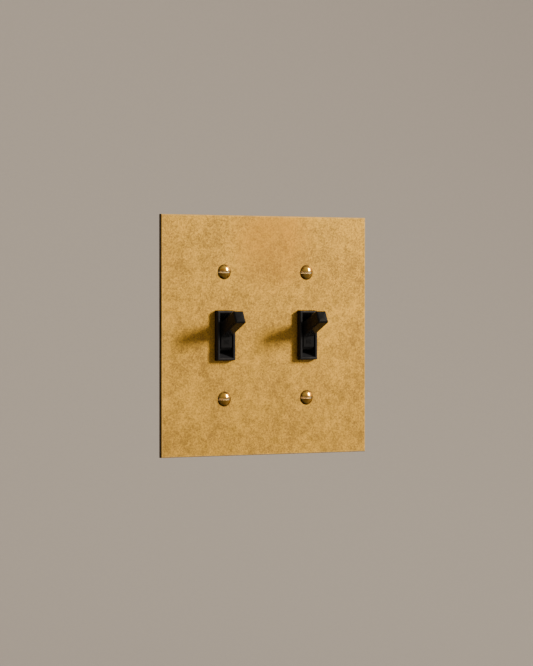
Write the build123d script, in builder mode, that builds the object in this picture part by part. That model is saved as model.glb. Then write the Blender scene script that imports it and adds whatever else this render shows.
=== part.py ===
from build123d import *
import os
from math import acos, cos, radians, sin, tan

# Two-gang toggle light switch behind a flat brass wall plate.
# Millimetres. The origin is the middle of the plate's back face.
# -Y faces whoever uses it, +Y goes back into the switch box, +X is right and +Z is up.

# Wall plate
plate_width = 114.3
plate_height = 114.3
plate_thick = 2.0
plate_edge_break = 0.3
gang_spacing = 46.04
plate_screw_spacing = 60.33
opening_clearance = 0.2

# Plate screws, slotted oval heads
plate_screw_radius = 1.75
plate_screw_head_radius = 3.45
plate_screw_cone_angle = 82.0
plate_screw_dome = 1.3
plate_screw_length = 13.0
screw_tip_chamfer = 0.6
plate_hole_clearance = 0.35
cone_clearance = 0.05
screw_slot_width = 1.0
screw_slot_depth = 1.5
thread_clearance = 0.03

# Mounting strap
strap_setback = 1.8
strap_thick = 1.2
strap_length = 104.8
strap_arm_width = 15.9
strap_waist_width = 24.0
strap_ear_width = 33.3
strap_ear_height = 15.0
strap_ear_corner = 4.0
strap_ear_notch = 1.2
strap_corner = 1.5
window_clearance = 0.3
box_screw_spacing = 83.34
box_slot_length = 6.6
box_slot_width = 4.2
ground_tab_height = 7.0
ground_tab_depth = 9.0
ground_tab_reach = 12.3
ground_tab_below_body = 1.5

# Box screws, their retainers, and the rivets
box_screw_radius = 1.75
box_screw_head_radius = 3.7
box_screw_head_thick = 1.5
box_screw_head_round = 0.75
box_screw_length = 20.0
box_screw_neck_radius = 1.4
box_screw_neck_gap = 0.2
box_slot_cut_depth = 0.8
retainer_size = 8.6
retainer_thick = 0.8
retainer_clearance = 0.1
retainer_corner = 1.0
rivet_radius = 1.6
rivet_head_radius = 2.8
rivet_head_thick = 0.9
rivet_head_round = 0.45
rivet_end_margin = 3.2
rivet_clearance = 0.05

# Cover moulding
collar_width = 9.9
collar_height = 23.5
collar_reach = 4.4
collar_side_wall = 1.3
collar_end_wall = 1.0
collar_edge_round = 0.45
collar_inner_round = 0.2
throat_slope_inset = 2.2
throat_slope_depth = 3.0
throat_lip_depth = 0.8
throat_back_inset = 1.25
bridge_width = 13.4
bridge_height = 26.4
bridge_behind_plate = 0.3
flange_thick = 2.0

# Base moulding
body_width = 25.0
body_height = 42.0
body_corner = 1.0
body_back_chamfer = 0.5
base_depth = 19.0
chamber_half_width = 5.4
chamber_half_height = 11.8
chamber_wall = 1.4
pocket_side_clearance = 0.1
pocket_barrier = 1.2

# Lever, with its pivot behind the plate's back face
pivot_depth = 2.3
throw_angle = 51.0
lever_width = 5.9
lever_neck_width = 5.85
lever_tip_width = 5.6
lever_reach = 21.1
lever_tip_thick = 6.2
lever_neck_thick = 6.7
lever_tip_crown = 0.25
lever_tip_round = 0.9
lever_outline_margin = 0.02
lever_edge_round = 0.65
shoulder_reach = 6.6
shoulder_height = 5.6
skirt_angle = 14.0
web_root = 0.8
stem_thick = 6.2
stem_reach = 9.0
trunnion_radius = 1.5
trunnion_half_length = 5.2
trunnion_clearance = 0.05
trunnion_end_gap = 0.15
letter_height = 2.1
letter_width = 1.15
letter_stroke = 0.34
letter_gap = 0.38
letter_relief = 0.12

# Lever spring
spring_bore_radius = 2.1
spring_bore_start = 2.5
spring_outer_radius = 1.95
spring_wire = 0.5
spring_reach = 12.2
spring_turns = 6
spring_seat_gap = 0.02

# Rocker and contacts
rocker_depth = 13.2
rocker_swing = 20.0
rocker_thick = 1.0
rocker_width = 6.0
rocker_bend = 0.6
rocker_ridge_half = 0.7
rocker_facet_inner = 2.1
rocker_facet_outer = 2.4
rocker_pad_length = 4.0
ear_radius = 0.7
ear_half_length = 4.9
ear_clearance = 0.05
contact_radius = 1.7
contact_thick = 1.0
contact_shank_radius = 0.7
contact_rivet_head = 0.3
contact_gap = 0.1
fixed_contact_radius = 2.0
fixed_contact_thick = 1.2
contact_edge_chamfer = 0.2

# Terminals, their screws and clamps
terminal_thick = 1.0
terminal_face = 11.6
terminal_half_strip = 2.2
upright_gap = 0.5
upright_above_pivot = 1.2
common_floor_depth = 17.6
terminal_screw_height = 9.0
terminal_screw_depth = 11.5
terminal_plate_half = 4.6
terminal_front_gap = 0.3
terminal_screw_radius = 2.0
terminal_head_radius = 3.8
terminal_head_thick = 2.4
terminal_head_round = 0.6
terminal_shank_length = 5.4
terminal_slot_width = 1.1
terminal_slot_depth = 1.2
clamp_thick = 1.2
clamp_half = 4.5
clamp_hole_clearance = 0.2

# Bumpers
bumper_half_width = 4.4
bumper_depth = 2.6
bumper_seat = 1.6
bumper_gap = 0.1
bumper_end_gap = 0.1

# Planes and heights that several pieces share
half_throw = throw_angle / 2
half_swing = rocker_swing / 2
strap_back = strap_setback + strap_thick
cover_back = strap_back + flange_thick
base_back = cover_back + base_depth
collar_half_width = collar_width / 2
collar_half_height = collar_height / 2
throat_half_width = collar_half_width - collar_side_wall
throat_half_height = collar_half_height - collar_end_wall
throat_lip_half_height = throat_half_height - throat_slope_inset
throat_back_half_height = throat_half_height - throat_back_inset
rivet_height = body_height / 2 - rivet_end_margin
ground_tab_bottom = body_height / 2 + ground_tab_below_body
ground_screw_height = ground_tab_bottom + ground_tab_height / 2
ground_screw_depth = strap_back + ground_tab_depth / 2
bumper_back = cover_back + bumper_depth
stem_half = stem_thick / 2


def face_plane(depth, x=0.0, z=0.0):
    """A plane parallel to the plate, its normal towards the front."""
    return Plane(origin=(x, depth, z), x_dir=(1, 0, 0), z_dir=(0, -1, 0))


def side_plane(x, y=0.0, z=0.0):
    """A plane across the X axis, its first axis +Y and its second +Z."""
    return Plane(origin=(x, y, z), x_dir=(0, 1, 0), z_dir=(1, 0, 0))


def lever_plane(gang_x):
    """The lever's own side plane at rest: first axis along the handle, second across it."""
    a = radians(half_throw)
    return Plane(origin=(gang_x, pivot_depth, 0), x_dir=(0, -cos(a), sin(a)), z_dir=(-1, 0, 0))


def rocker_plane(gang_x):
    """The rocker's own side plane at rest, tipped so that its lower arm is deep."""
    a = radians(half_swing)
    return Plane(origin=(gang_x, rocker_depth, 0), x_dir=(0, cos(a), sin(a)), z_dir=(1, 0, 0))


def save(piece, name):
    """Label a finished piece and write its file."""
    piece.part.label = name
    export_step(piece.part, f"parts/{name}.step")


# Wall plate: flat sheet, two openings for the collars, four countersunk holes
def make_wall_plate():
    cone = radians(plate_screw_cone_angle / 2)
    sink_radius = plate_screw_head_radius + cone_clearance / cos(cone)
    with BuildPart() as wall_plate:
        with BuildSketch(face_plane(0)):
            Rectangle(plate_width, plate_height)
        extrude(amount=plate_thick)
        front = wall_plate.faces().sort_by(Axis.Y)[0]
        chamfer(front.edges(), plate_edge_break)
        with BuildSketch(face_plane(0)):
            with GridLocations(gang_spacing, 1, 2, 1):
                Rectangle(collar_width + 2 * opening_clearance, collar_height + 2 * opening_clearance)
        extrude(amount=plate_thick, mode=Mode.SUBTRACT)
        with Locations(face_plane(-plate_thick)):
            with GridLocations(gang_spacing, plate_screw_spacing, 2, 2):
                CounterSinkHole(
                    radius=plate_screw_radius + plate_hole_clearance,
                    counter_sink_radius=sink_radius,
                    counter_sink_angle=plate_screw_cone_angle,
                )
    save(wall_plate, "wall_plate")


# Plate screw: cone in the plate's countersink, shallow dome, slot across, shank into the strap
def make_plate_screw(name, x, z):
    cone_depth = (plate_screw_head_radius - plate_screw_radius) / tan(radians(plate_screw_cone_angle / 2))
    head_back = cone_depth - plate_thick
    dome_front = -plate_thick - plate_screw_dome
    tip = head_back + plate_screw_length
    # The dome is a shallow cap of a sphere, and its arc passes through a point at half the head's radius
    dome_sphere = (plate_screw_head_radius**2 + plate_screw_dome**2) / (2 * plate_screw_dome)
    half_radius = plate_screw_head_radius / 2
    dome_middle = dome_front + dome_sphere - (dome_sphere**2 - half_radius**2) ** 0.5
    with BuildPart() as screw:
        with BuildSketch(side_plane(x, 0, z)):
            with BuildLine():
                Polyline(
                    (dome_front, 0),
                    (tip, 0),
                    (tip, plate_screw_radius - screw_tip_chamfer),
                    (tip - screw_tip_chamfer, plate_screw_radius),
                    (head_back, plate_screw_radius),
                    (-plate_thick, plate_screw_head_radius),
                )
                ThreePointArc(
                    (-plate_thick, plate_screw_head_radius),
                    (dome_middle, half_radius),
                    (dome_front, 0),
                )
            make_face()
        revolve(axis=Axis((x, 0, z), (0, 1, 0)))
        with BuildSketch(face_plane(dome_front + screw_slot_depth, x, z)):
            Rectangle(4 * half_radius, screw_slot_width)
        extrude(amount=screw_slot_depth, mode=Mode.SUBTRACT)
    save(screw, name)


# Mounting strap: one steel stamping with ears, slots, tapped holes, a window and a ground tab
def make_strap(side, gang_x):
    ear_height = strap_length / 2 - strap_ear_height / 2
    tab_x = gang_x - ground_tab_reach
    with BuildPart() as strap:
        with BuildSketch(face_plane(strap_back, gang_x)):
            Rectangle(strap_arm_width, strap_length - strap_ear_height)
            Rectangle(strap_waist_width, body_height - 2 * rivet_end_margin + 2 * rivet_head_radius)
            with Locations((0, ear_height), (0, -ear_height)):
                RectangleRounded(strap_ear_width, strap_ear_height, strap_ear_corner)
            with Locations((-(strap_arm_width / 2 + ground_tab_reach) / 2, -ground_screw_height)):
                Rectangle(ground_tab_reach - strap_arm_width / 2 + strap_corner, ground_tab_height)
            with GridLocations(strap_arm_width + 2 * strap_ear_notch, strap_length - strap_ear_height, 2, 2):
                Circle(strap_ear_notch, mode=Mode.SUBTRACT)
            with GridLocations(1, box_screw_spacing, 1, 2):
                SlotOverall(box_slot_length, box_slot_width, mode=Mode.SUBTRACT)
            with GridLocations(1, plate_screw_spacing, 1, 2):
                Circle(plate_screw_radius + thread_clearance, mode=Mode.SUBTRACT)
            with GridLocations(1, 2 * rivet_height, 1, 2):
                Circle(rivet_radius + rivet_clearance, mode=Mode.SUBTRACT)
            Rectangle(
                bridge_width + 2 * window_clearance, bridge_height + 2 * window_clearance, mode=Mode.SUBTRACT
            )
        extrude(amount=strap_thick)
        # The ground tab is bent back along the body's side and tapped for its screw
        with BuildSketch(side_plane(tab_x, strap_setback, -ground_screw_height)):
            with Locations(((ground_tab_depth + strap_thick) / 2, 0)):
                Rectangle(ground_tab_depth + strap_thick, ground_tab_height)
        extrude(amount=strap_thick)
        tab_end = strap.edges().filter_by(Axis.X).group_by(Axis.Y)[-1]
        fillet(tab_end, strap_corner)
        with BuildSketch(side_plane(tab_x, ground_screw_depth, -ground_screw_height)):
            Circle(terminal_screw_radius + thread_clearance)
        extrude(amount=strap_thick, mode=Mode.SUBTRACT)
    save(strap, f"strap_{side}")


# Cover moulding: flange behind the strap, bridge through its window, collar through the plate
def make_cover(side, gang_x):
    front = -collar_reach
    with BuildPart() as cover:
        with BuildSketch(face_plane(cover_back, gang_x)):
            RectangleRounded(body_width, body_height, body_corner)
            with GridLocations(1, 2 * rivet_height, 1, 2):
                Circle(rivet_radius + rivet_clearance, mode=Mode.SUBTRACT)
        extrude(amount=flange_thick)
        with BuildSketch(face_plane(strap_back, gang_x)):
            Rectangle(bridge_width, bridge_height)
        extrude(amount=strap_back - bridge_behind_plate)
        with BuildSketch(face_plane(bridge_behind_plate, gang_x)):
            Rectangle(collar_width, collar_height)
        extrude(amount=bridge_behind_plate + collar_reach)
        rim = cover.faces().sort_by(Axis.Y)[0]
        fillet(rim.edges(), collar_edge_round)
        # The throat's end walls slope inwards behind the rim to a lip, and step out again behind it
        lip_front = front + throat_slope_depth
        lip_back = lip_front + throat_lip_depth
        with BuildSketch(side_plane(gang_x)):
            with BuildLine():
                Polyline(
                    (lip_front, -throat_lip_half_height),
                    (front, -throat_half_height),
                    (front, throat_half_height),
                    (lip_front, throat_lip_half_height),
                    close=True,
                )
            make_face()
            with Locations(((lip_front + lip_back) / 2, 0)):
                Rectangle(throat_lip_depth, 2 * throat_lip_half_height)
            with Locations(((lip_back + cover_back) / 2, 0)):
                Rectangle(cover_back - lip_back, 2 * throat_back_half_height)
        extrude(amount=throat_half_width, both=True, mode=Mode.SUBTRACT)
        mouth = cover.faces().sort_by(Axis.Y)[0].inner_wires()[0]
        fillet(mouth.edges(), collar_inner_round)
        # Trunnion bearings: half-round seats in the bridge, open to the back
        seat = trunnion_radius + trunnion_clearance
        with BuildSketch(side_plane(gang_x)):
            with Locations((pivot_depth, 0)):
                Circle(seat)
            with Locations(((pivot_depth + cover_back) / 2, 0)):
                Rectangle(cover_back - pivot_depth, 2 * seat)
        extrude(amount=trunnion_half_length + trunnion_end_gap, both=True, mode=Mode.SUBTRACT)
    save(cover, f"cover_{side}")


# Base moulding: contact chamber, bumper seats, and a pocket for each terminal at its right side
def make_base(side, gang_x):
    pocket_left = chamber_half_width + chamber_wall
    pocket_right = terminal_face + pocket_side_clearance
    pocket_end = terminal_screw_height + terminal_plate_half + 2 * pocket_side_clearance
    window_near = terminal_screw_height - terminal_plate_half - 2 * pocket_side_clearance
    strip = terminal_half_strip + pocket_side_clearance
    common_floor = common_floor_depth + terminal_thick
    load_floor = load_blade_front() + terminal_thick
    blade_half = fixed_contact_radius + 2 * pocket_side_clearance

    def hollow(x0, x1, z0, z1, floor):
        """Cut a pocket from the open front down to its floor."""
        with BuildSketch(face_plane(floor, gang_x + (x0 + x1) / 2, (z0 + z1) / 2)) as outline:
            Rectangle(x1 - x0, z1 - z0)
        extrude(outline.sketch, amount=floor - cover_back, mode=Mode.SUBTRACT)

    with BuildPart() as base:
        with BuildSketch(face_plane(base_back, gang_x)):
            RectangleRounded(body_width, body_height, body_corner)
        extrude(amount=base_depth)
        back_edges = base.faces().sort_by(Axis.Y)[-1].edges()
        chamfer(back_edges, body_back_chamfer)
        # Contact chamber, with the load contact's pedestal left standing at the bottom
        pedestal_top = -contact_height() + blade_half
        hollow(-chamber_half_width, chamber_half_width, pedestal_top, chamber_half_height, common_floor)
        hollow(-chamber_half_width, chamber_half_width, -chamber_half_height, chamber_half_height, load_floor)
        bumper_end = chamber_half_height + bumper_seat
        bumper_side = bumper_half_width + bumper_end_gap
        hollow(-bumper_side, bumper_side, -bumper_end, bumper_end, bumper_back)
        # Terminal pockets, their windows in the side, and the slots that join them to the chamber
        hollow(pocket_left, pocket_right, -strip, pocket_end, common_floor)
        hollow(pocket_left, pocket_right, -pocket_end, -strip - pocket_barrier, load_floor)
        hollow(pocket_right, body_width / 2, window_near, pocket_end, common_floor)
        hollow(pocket_right, body_width / 2, -pocket_end, -window_near, load_floor)
        hollow(chamber_half_width, pocket_left, -strip, strip, common_floor)
        hollow(
            chamber_half_width,
            pocket_left,
            -contact_height() - blade_half,
            -contact_height() + blade_half,
            load_floor,
        )
        with BuildSketch(face_plane(base_back, gang_x)):
            with GridLocations(1, 2 * rivet_height, 1, 2):
                Circle(rivet_radius + rivet_clearance)
        extrude(amount=base_depth, mode=Mode.SUBTRACT)
    save(base, f"base_{side}")


# Raised letters, drawn with plain strokes on the sketch that is open
def draw_letter(letter, x):
    half_w = letter_width / 2
    half_h = letter_height / 2
    s = letter_stroke
    if letter == "O":
        with Locations((x, 0)):
            SlotOverall(letter_height, letter_width, rotation=90)
            SlotOverall(letter_height - 2 * s, letter_width - 2 * s, rotation=90, mode=Mode.SUBTRACT)
        return
    with Locations((x - half_w + s / 2, 0)):
        Rectangle(s, letter_height)
    if letter == "N":
        with Locations((x + half_w - s / 2, 0)):
            Rectangle(s, letter_height)
        Polygon(
            (x - half_w, half_h),
            (x - half_w + s, half_h),
            (x + half_w, -half_h),
            (x + half_w - s, -half_h),
            align=None,
        )
    if letter == "F":
        with Locations((x, half_h - s / 2)):
            Rectangle(letter_width, s)
        with Locations((x - s / 2, 0)):
            Rectangle(letter_width - s, s)


# Lever: handle, two lettered shoulders, trunnions and a hollow stem, one moulding, shown up (on)
def make_lever(side, gang_x):
    a = radians(half_throw)
    root_half = lever_neck_thick / 2
    # The shoulder's far corner, and the skirt that goes on from it, in the lever's own axes
    corner_u = shoulder_reach * cos(a) - shoulder_height * sin(a)
    corner_v = shoulder_reach * sin(a) + shoulder_height * cos(a)
    skirt_radius = (corner_u**2 + corner_v**2) ** 0.5
    corner_at = acos(corner_u / skirt_radius)
    skirt_mid = corner_at + radians(skirt_angle) / 2
    skirt_end = corner_at + radians(skirt_angle)
    stem_end_u = -((stem_reach**2 - stem_half**2) ** 0.5)
    crown_radius = (lever_tip_thick**2 / 4 + lever_tip_crown**2) / (2 * lever_tip_crown)
    top_plane = Plane(origin=(gang_x, pivot_depth, 0), x_dir=(0, -cos(a), sin(a)), z_dir=(0, sin(a), cos(a)))

    def section_plane(u):
        """The plane across the handle at this distance from the pivot."""
        return Plane(
            origin=(gang_x, pivot_depth - u * cos(a), u * sin(a)), x_dir=(1, 0, 0), z_dir=(0, -cos(a), sin(a))
        )

    with BuildPart() as lever:
        # Handle, tapering to a slightly crowned end
        with BuildSketch(section_plane(0)):
            RectangleRounded(lever_neck_width, lever_neck_thick, lever_edge_round)
        with BuildSketch(section_plane(lever_reach + lever_tip_crown)):
            RectangleRounded(lever_tip_width, lever_tip_thick, lever_edge_round)
        loft()
        # Its end edges are well rounded, as seen from the side and from above
        for view, neck, end in (
            (lever_plane(gang_x), lever_neck_thick, lever_tip_thick),
            (top_plane, lever_neck_width, lever_tip_width),
        ):
            neck_half = neck / 2 + lever_outline_margin
            end_half = end / 2 + lever_outline_margin
            with BuildSketch(view) as outline:
                Polygon(
                    (0, -neck_half), (0, neck_half), (lever_reach, end_half), (lever_reach, -end_half), align=None
                )
                with Locations((lever_reach - crown_radius, 0)):
                    Circle(crown_radius, mode=Mode.INTERSECT)
                fillet(outline.vertices().sort_by(Axis.X)[-2:], lever_tip_round)
            extrude(amount=lever_neck_thick, both=True, mode=Mode.INTERSECT)
        # Shoulders, skirts and stem
        with BuildSketch(lever_plane(gang_x)):
            with BuildLine():
                for way in (1, -1):
                    skirt_start = (corner_u, way * corner_v)
                    skirt_stop = (skirt_radius * cos(skirt_end), way * skirt_radius * sin(skirt_end))
                    Line((shoulder_reach / cos(a), 0), skirt_start)
                    ThreePointArc(
                        skirt_start,
                        (skirt_radius * cos(skirt_mid), way * skirt_radius * sin(skirt_mid)),
                        skirt_stop,
                    )
                    Polyline(skirt_stop, (-web_root, way * stem_half), (stem_end_u, way * stem_half))
                ThreePointArc((stem_end_u, stem_half), (-stem_reach, 0), (stem_end_u, -stem_half))
            make_face()
        extrude(amount=lever_width / 2, both=True)
        # Trunnions, turning in the cover's bearings
        with BuildSketch(side_plane(gang_x, pivot_depth)):
            Circle(trunnion_radius)
        extrude(amount=trunnion_half_length, both=True)
        # Bore for the spring
        bore_plane = Plane(
            origin=(gang_x, pivot_depth + spring_bore_start * cos(a), -spring_bore_start * sin(a)),
            x_dir=(1, 0, 0),
            z_dir=(0, cos(a), -sin(a)),
        )
        with BuildSketch(bore_plane):
            Circle(spring_bore_radius)
        extrude(amount=stem_reach, mode=Mode.SUBTRACT)
        # ON faces the front with the lever up, OFF with it down
        pad_middle = (shoulder_height + root_half / cos(a) - shoulder_reach * tan(a)) / 2
        for word, turn, way in (("ON", 0.0, -1), ("OFF", throw_angle, 1)):
            t = radians(turn)
            forward = (0, -cos(t), sin(t))
            upward = (0, sin(t), cos(t))
            pad = Plane(
                origin=(
                    gang_x,
                    pivot_depth + shoulder_reach * forward[1] + way * pad_middle * upward[1],
                    shoulder_reach * forward[2] + way * pad_middle * upward[2],
                ),
                x_dir=(1, 0, 0),
                z_dir=forward,
            )
            step = letter_width + letter_gap
            with BuildSketch(pad.offset(-letter_relief)):
                for k, letter in enumerate(word):
                    draw_letter(letter, (k - (len(word) - 1) / 2) * step)
            extrude(amount=2 * letter_relief)
    save(lever, f"lever_{side}")


# Lever spring: a coil in the stem's bore, pushing the rocker
def make_lever_spring(side, gang_x):
    a = radians(half_throw)
    start = spring_bore_start + spring_seat_gap + spring_wire / 2
    height = spring_reach - spring_bore_start - spring_wire - 2 * spring_seat_gap
    with BuildPart() as spring:
        with BuildLine():
            coil = Helix(
                pitch=height / spring_turns,
                height=height,
                radius=spring_outer_radius - spring_wire / 2,
                center=(gang_x, pivot_depth + start * cos(a), -start * sin(a)),
                direction=(0, cos(a), -sin(a)),
            )
        with BuildSketch(Plane(origin=coil @ 0, z_dir=coil % 0)):
            Circle(spring_wire / 2)
        sweep(is_frenet=True)
    save(spring, f"lever_spring_{side}")


def to_rocker(y, z):
    """A point of the rest pose, in the rocker's own axes."""
    a = radians(half_swing)
    dy = y - rocker_depth
    return (dy * cos(a) + z * sin(a), z * cos(a) - dy * sin(a))


def rocker_facet_end(offset):
    """A point on the facet that the spring bears on, offset outwards from the spring's axis."""
    a = radians(half_throw)
    y = pivot_depth + spring_reach * cos(a) - offset * sin(a)
    z = -spring_reach * sin(a) - offset * cos(a)
    return (y, z)


def contact_height():
    """How far below the gang's middle the contacts' axis lies at rest."""
    return -rocker_facet_end(rocker_facet_outer)[1] + rocker_pad_length / 2 + rocker_bend / 2


def contact_face():
    """Depth of the rocker pad's back face at rest."""
    return rocker_facet_end(rocker_facet_outer)[0] + rocker_thick


def load_blade_front():
    """Depth of the load terminal's front face, where the fixed contact sits."""
    return contact_face() + contact_thick + contact_gap + fixed_contact_thick


def strip_outline(front, thick):
    """Closed outline of a bent strip: its front points, then its back points, mitred at each bend."""
    points = [Vector(p, q) for p, q in front]
    runs = [(b - a).normalized() for a, b in zip(points, points[1:])]
    normals = [Vector(-run.Y, run.X) for run in runs]
    back = []
    for k, point in enumerate(points):
        near = normals[max(k - 1, 0)]
        far = normals[min(k, len(normals) - 1)]
        mitre = (near + far).normalized()
        back.append(point + mitre * (thick / mitre.dot(near)))
    return points + back[::-1]


# Rocker: a formed strip that the spring tips over, with ears that turn in the common terminal
def make_rocker(side, gang_x):
    pad_y, pad_z = rocker_facet_end(rocker_facet_outer)
    lower = [
        to_rocker(pad_y, pad_z - rocker_pad_length),
        to_rocker(pad_y, pad_z),
        to_rocker(*rocker_facet_end(-rocker_facet_inner)),
        (-rocker_thick / 2, -rocker_ridge_half),
    ]
    upper = [(p, -q) for p, q in lower]
    with BuildPart() as rocker:
        with BuildSketch(rocker_plane(gang_x)):
            Polygon(*strip_outline(upper + lower[::-1], rocker_thick), align=None)
        extrude(amount=rocker_width / 2, both=True)
        pad_middle = contact_height()
        bends = rocker.edges().filter_by(Axis.X).filter_by(lambda e: abs((e @ 0.5).Z) < pad_middle - rocker_bend)
        fillet(bends, rocker_bend)
        for way in (1, -1):
            with BuildSketch(side_plane(gang_x + way * (rocker_width / 2 - ear_radius / 2), rocker_depth)):
                Circle(ear_radius)
            extrude(amount=way * (ear_half_length - rocker_width / 2 + ear_radius / 2))
        with BuildSketch(face_plane(contact_face(), gang_x, -contact_height())):
            Circle(contact_shank_radius + thread_clearance)
        extrude(amount=2 * rocker_thick, mode=Mode.SUBTRACT)
    save(rocker, f"rocker_{side}")


# Moving contact: a rivet through the rocker's lower pad
def make_moving_contact(side, gang_x):
    face = contact_face()
    with BuildPart() as contact:
        with BuildSketch(face_plane(face + contact_thick, gang_x, -contact_height())):
            Circle(contact_radius)
        extrude(amount=contact_thick)
        with BuildSketch(face_plane(face, gang_x, -contact_height())):
            Circle(contact_shank_radius)
        extrude(amount=rocker_thick + contact_rivet_head)
        with BuildSketch(face_plane(face - rocker_thick, gang_x, -contact_height())):
            Circle(2 * contact_shank_radius)
        extrude(amount=contact_rivet_head)
    save(contact, f"moving_contact_{side}")


# Fixed contact: a disc on the load terminal's blade
def make_fixed_contact(side, gang_x):
    with BuildPart() as contact:
        with BuildSketch(face_plane(load_blade_front(), gang_x, -contact_height())):
            Circle(fixed_contact_radius)
        extrude(amount=fixed_contact_thick)
        chamfer(contact.faces().sort_by(Axis.Y)[0].edges(), contact_edge_chamfer)
    save(contact, f"fixed_contact_{side}")


# The upright face of a terminal, at the body's side, tapped for its screw
def add_side_plate(gang_x, z, back):
    front = cover_back + terminal_front_gap
    x = gang_x + terminal_face - terminal_thick
    with BuildSketch(side_plane(x, (front + back) / 2, z)) as plate:
        Rectangle(back - front, 2 * terminal_plate_half)
    extrude(plate.sketch, amount=terminal_thick)
    with BuildSketch(side_plane(x, terminal_screw_depth, z)) as tapped_hole:
        Circle(terminal_screw_radius + thread_clearance)
    extrude(tapped_hole.sketch, amount=terminal_thick, mode=Mode.SUBTRACT)


# Common terminal: floor strip, two uprights that carry the rocker's ears, and a side plate
def make_common_terminal(side, gang_x):
    back = common_floor_depth + terminal_thick
    upright_inner = rocker_width / 2 + upright_gap
    upright_outer = upright_inner + terminal_thick
    leg_left = terminal_face - 4 * terminal_thick
    leg_top = terminal_screw_height + terminal_plate_half
    with BuildPart() as terminal:
        with BuildSketch(face_plane(back, gang_x)):
            with Locations(((terminal_face - upright_outer) / 2, 0)):
                Rectangle(terminal_face + upright_outer, 2 * terminal_half_strip)
            with Locations(((leg_left + terminal_face) / 2, (leg_top - terminal_half_strip) / 2)):
                Rectangle(terminal_face - leg_left, leg_top + terminal_half_strip)
        extrude(amount=terminal_thick)
        front = rocker_depth - upright_above_pivot
        for way in (1, -1):
            with BuildSketch(side_plane(gang_x + way * upright_inner, (front + back) / 2)):
                Rectangle(back - front, 2 * terminal_half_strip)
            extrude(amount=way * terminal_thick)
        # Round-bottomed notches for the ears, open to the front
        notch = ear_radius + ear_clearance
        with BuildSketch(side_plane(gang_x)):
            with Locations((rocker_depth, 0)):
                Circle(notch)
            with Locations((rocker_depth - upright_above_pivot / 2, 0)):
                Rectangle(upright_above_pivot, 2 * notch)
        extrude(amount=upright_outer, both=True, mode=Mode.SUBTRACT)
        add_side_plate(gang_x, terminal_screw_height, back)
    save(terminal, f"common_terminal_{side}")


# Load terminal: a blade under the fixed contact, and a side plate
def make_load_terminal(side, gang_x):
    front = load_blade_front()
    back = front + terminal_thick
    left = -fixed_contact_radius
    with BuildPart() as terminal:
        with BuildSketch(face_plane(back, gang_x + (left + terminal_face) / 2, -contact_height())):
            Rectangle(terminal_face - left, 2 * fixed_contact_radius)
        extrude(amount=terminal_thick)
        add_side_plate(gang_x, -terminal_screw_height, back)
    save(terminal, f"load_terminal_{side}")


# A binding-head screw along X, its head facing outwards
def make_side_screw(name, head_x, y, z, way):
    with BuildPart() as screw:
        with BuildSketch(side_plane(head_x, y, z)):
            Circle(terminal_head_radius)
        extrude(amount=way * terminal_head_thick)
        outer = screw.faces().sort_by(Axis.X)[-1 if way > 0 else 0]
        fillet(outer.edges(), terminal_head_round)
        with BuildSketch(side_plane(head_x + way * (terminal_head_thick - terminal_slot_depth), y, z)):
            Rectangle(terminal_slot_width, 2 * terminal_head_radius)
        extrude(amount=way * terminal_slot_depth, mode=Mode.SUBTRACT)
        with BuildSketch(side_plane(head_x, y, z)):
            Circle(terminal_screw_radius)
        extrude(amount=-way * terminal_shank_length)
    save(screw, name)


# Wire clamp: a square plate with rounded corners under the terminal screw's head
def make_clamp(name, gang_x, z):
    with BuildPart() as clamp:
        with BuildSketch(side_plane(gang_x + terminal_face, terminal_screw_depth, z)):
            RectangleRounded(2 * clamp_half, 2 * clamp_half, clamp_thick)
            Circle(terminal_screw_radius + clamp_hole_clearance, mode=Mode.SUBTRACT)
        extrude(amount=clamp_thick)
    save(clamp, name)


# Rubber bumper: seated between cover and base, its sloping face stops the lever's stem
def make_bumper(name, gang_x, way):
    a = radians(half_throw)
    stop = stem_half + bumper_gap
    outer = chamber_half_height + bumper_seat - bumper_end_gap

    def stop_height(depth):
        """Height of the stem's side, with its gap, at this depth, with the lever at its limit."""
        along = (depth - pivot_depth + stop * sin(a)) / cos(a)
        return along * sin(a) + stop * cos(a)

    with BuildPart() as bumper:
        with BuildSketch(side_plane(gang_x)):
            with BuildLine():
                Polyline(
                    (cover_back, way * stop_height(cover_back)),
                    (bumper_back, way * stop_height(bumper_back)),
                    (bumper_back, way * outer),
                    (cover_back, way * outer),
                    close=True,
                )
            make_face()
        extrude(amount=bumper_half_width, both=True)
    save(bumper, name)


# Box screw: a thin truss head on the strap's front, a neck that its retainer holds, then the thread
def make_box_screw(name, gang_x, z):
    tip = strap_setback + box_screw_length
    thread_start = strap_back + retainer_thick + box_screw_neck_gap
    with BuildPart() as screw:
        with BuildSketch(face_plane(strap_setback, gang_x, z)):
            Circle(box_screw_head_radius)
        extrude(amount=box_screw_head_thick)
        fillet(screw.faces().sort_by(Axis.Y)[0].edges(), box_screw_head_round)
        with BuildSketch(face_plane(strap_setback - box_screw_head_thick + box_slot_cut_depth, gang_x, z)):
            Rectangle(2 * box_screw_head_radius, terminal_slot_width)
        extrude(amount=box_slot_cut_depth, mode=Mode.SUBTRACT)
        with BuildSketch(face_plane(thread_start, gang_x, z)):
            Circle(box_screw_neck_radius)
        extrude(amount=thread_start - strap_setback)
        with BuildSketch(face_plane(tip, gang_x, z)):
            Circle(box_screw_radius)
        extrude(amount=tip - thread_start)
        chamfer(screw.faces().sort_by(Axis.Y)[-1].edges(), screw_tip_chamfer)
    save(screw, name)


# Screw retainer: a thin square washer behind the strap that keeps the box screw in place
def make_retainer(name, gang_x, z):
    with BuildPart() as retainer:
        with BuildSketch(face_plane(strap_back + retainer_thick, gang_x, z)):
            RectangleRounded(retainer_size, retainer_size, retainer_corner)
            Circle(box_screw_neck_radius + retainer_clearance, mode=Mode.SUBTRACT)
        extrude(amount=retainer_thick)
    save(retainer, name)


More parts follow.
